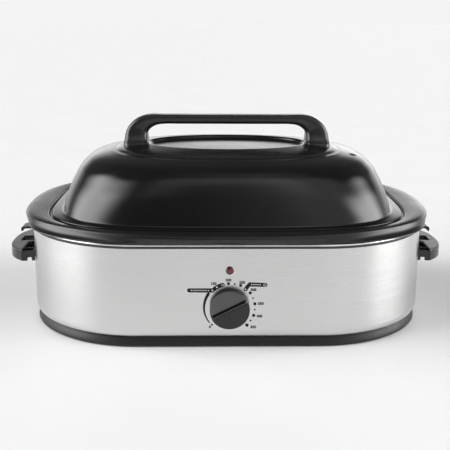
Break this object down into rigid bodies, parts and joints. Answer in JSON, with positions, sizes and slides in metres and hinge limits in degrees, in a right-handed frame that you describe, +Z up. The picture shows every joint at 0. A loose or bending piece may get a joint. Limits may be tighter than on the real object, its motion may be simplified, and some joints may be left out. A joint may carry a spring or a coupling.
{
  "type": "electric roaster oven",
  "caption": "Countertop electric roaster: steel-clad oval body, lift-out enamelled pan and rack, domed lift-off lid with bar handle, side handles and a front thermostat knob.",
  "frame": {"origin": "on the table under the middle of the body, at the lowest point of the rubber feet", "axes": "+X to the right seen from the front, along the long side with the side handles at its ends; +Y to the back, away from the knob; +Z up"},
  "size_m": [0.6122, 0.424, 0.2683],
  "materials": {
    "black_base": "moulded black, satin",
    "plate_steel": "zinc plated sheet",
    "foot_rubber": "matt",
    "fastener_steel": "bright zinc",
    "brushed_wrap": "fine horizontal brushing",
    "bright_bead": "polished",
    "well_aluminised": "aluminised sheet, satin",
    "glass_wool": "fibre blanket",
    "ribbon_alloy": "oxidised",
    "mica": "mica sheet",
    "steatite": "matt ceramic",
    "red_lens": "clear dark red, glossy",
    "black_moulding": "moulded black",
    "handle_black": "phenolic, satin",
    "knob_black": "phenolic, satin",
    "lead_jacket": "silicone jacket",
    "black_enamel": "glossy enamel on steel",
    "lid_enamel": "glossy enamel on steel",
    "rack_chrome": "plated wire"
  },
  "bodies": {
    "housing": {"base_ring": "black_base", "bottom_plate": "plate_steel", "rubber_feet": "foot_rubber", "foot_screws": "fastener_steel", "centre_stud": "fastener_steel", "body_wrap": "brushed_wrap", "rim_bead": "bright_bead", "liner_well": "well_aluminised", "insulation": "glass_wool", "heater_ribbons": "ribbon_alloy", "heater_clips": "mica", "thermostat_bracket": "plate_steel", "thermostat_body": "steatite", "indicator_lens": "red_lens", "lamp_holder": "black_moulding", "side_handle_left": "handle_black", "side_handle_right": "handle_black", "handle_backing_plates": "plate_steel", "handle_screws": "fastener_steel", "cord_gland": "black_moulding", "terminal_block": "steatite", "wiring": "lead_jacket", "thermal_fuse": "steatite"},
    "knob": {"knob": "knob_black", "thermostat_shaft": "fastener_steel", "knob_clip": "fastener_steel"},
    "pan": {"roasting_pan": "black_enamel"},
    "rack": {"rack_grid": "rack_chrome", "rack_handles": "rack_chrome"},
    "lid": {"lid_shell": "lid_enamel", "lid_handle": "handle_black", "lid_screws": "fastener_steel", "lid_washers": "fastener_steel"}
  },
  "joints": [
    {"name": "knob_turn", "type": "hinge", "parent": "housing", "child": "knob", "pos_m": [0, -0.2, 0.0525], "axis": [0, 1, 0], "range_deg": [-20, 250]},
    {"name": "pan_lift", "type": "slide", "parent": "housing", "child": "pan", "axis": [0, 0, 1], "range_m": [0, 0.13]},
    {"name": "rack_lift", "type": "slide", "parent": "pan", "child": "rack", "axis": [0, 0, 1], "range_m": [0, 0.13]},
    {"name": "lid_lift", "type": "slide", "parent": "rack", "child": "lid", "axis": [0, 0, 1], "range_m": [0, 0.12]}
  ]
}
